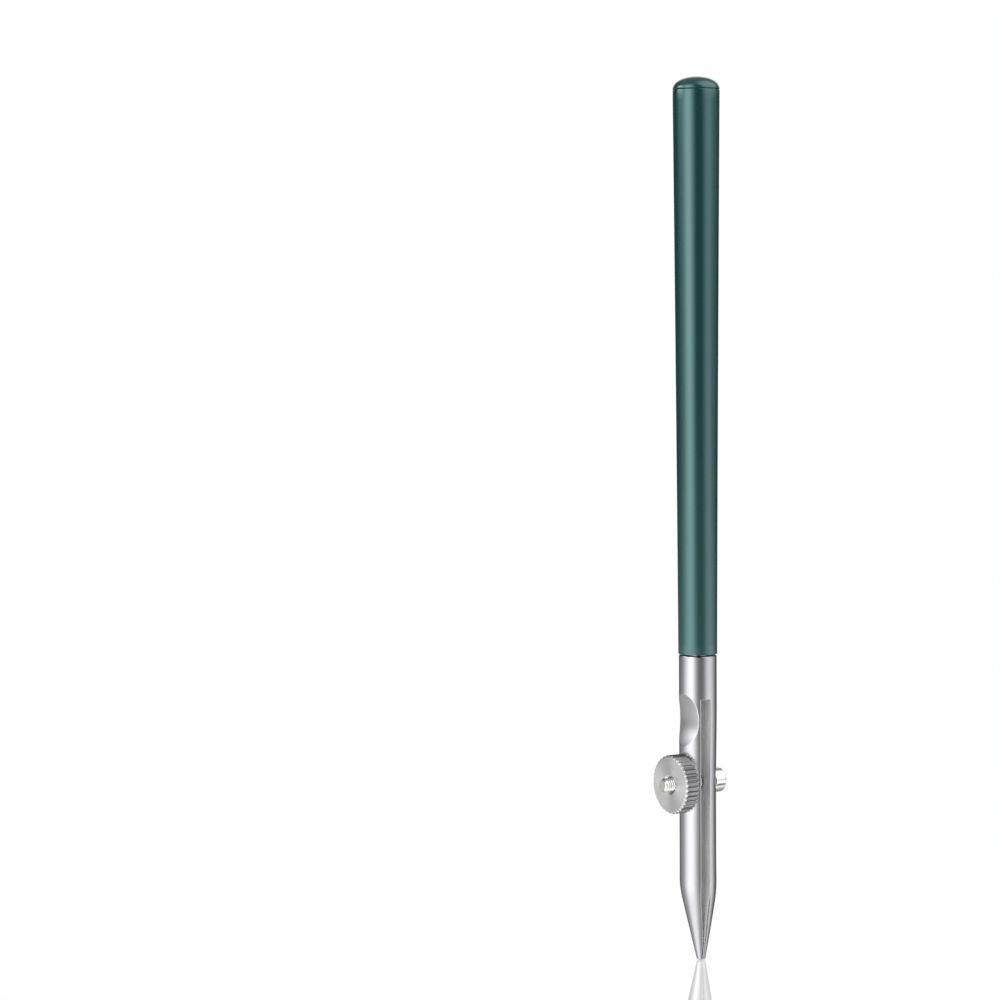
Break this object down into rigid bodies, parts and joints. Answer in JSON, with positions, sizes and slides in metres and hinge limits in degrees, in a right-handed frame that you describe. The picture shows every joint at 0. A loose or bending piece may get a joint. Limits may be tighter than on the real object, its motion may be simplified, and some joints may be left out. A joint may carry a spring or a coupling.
{
  "type": "adjustable ruling pen",
  "caption": "Slim drawing pen with a tapered painted handle and a slotted steel nib; a knurled thumb nut on a cross screw sets the gap between the tips.",
  "frame": {"origin": "on the pen's axis, in the plane where the handle meets the nib bar", "axes": "+Z along the pen towards the handle's domed end, tips at -Z; the cross screw lies along X, its nut at -X and its head at +X; the slot between the jaws lies in the Y-Z plane"},
  "size_m": [0.0139, 0.011, 0.1637],
  "materials": {
    "handle_paint": "satin dark green, metal core assumed",
    "nib_steel": "turned and polished stainless steel",
    "nut_steel": "turned faces, straight knurled edge",
    "screw_plate": "bright nickel plate"
  },
  "bodies": {
    "pen": {"handle_barrel": "handle_paint", "end_cap": "handle_paint", "nib_body": "nib_steel", "clamp_screw": "screw_plate"},
    "spring_jaw": {"spring_jaw": "nib_steel"},
    "thumb_nut": {"thumb_nut": "nut_steel"}
  },
  "joints": [
    {"name": "jaw_flex", "type": "hinge", "parent": "pen", "child": "spring_jaw", "pos_m": [-0.00181, 0, -0.0119], "axis": [0, 1, 0], "range_deg": [0, 2.5]},
    {"name": "nut_spin", "type": "hinge", "parent": "spring_jaw", "child": "thumb_nut", "pos_m": [-0.00505, 0, -0.0237], "axis": [-1, 0, 0], "range_deg": [0, 412.5]}
  ],
  "couplings": [
    {"joint": "nut_spin", "follows": "jaw_flex", "ratio": 165}
  ]
}
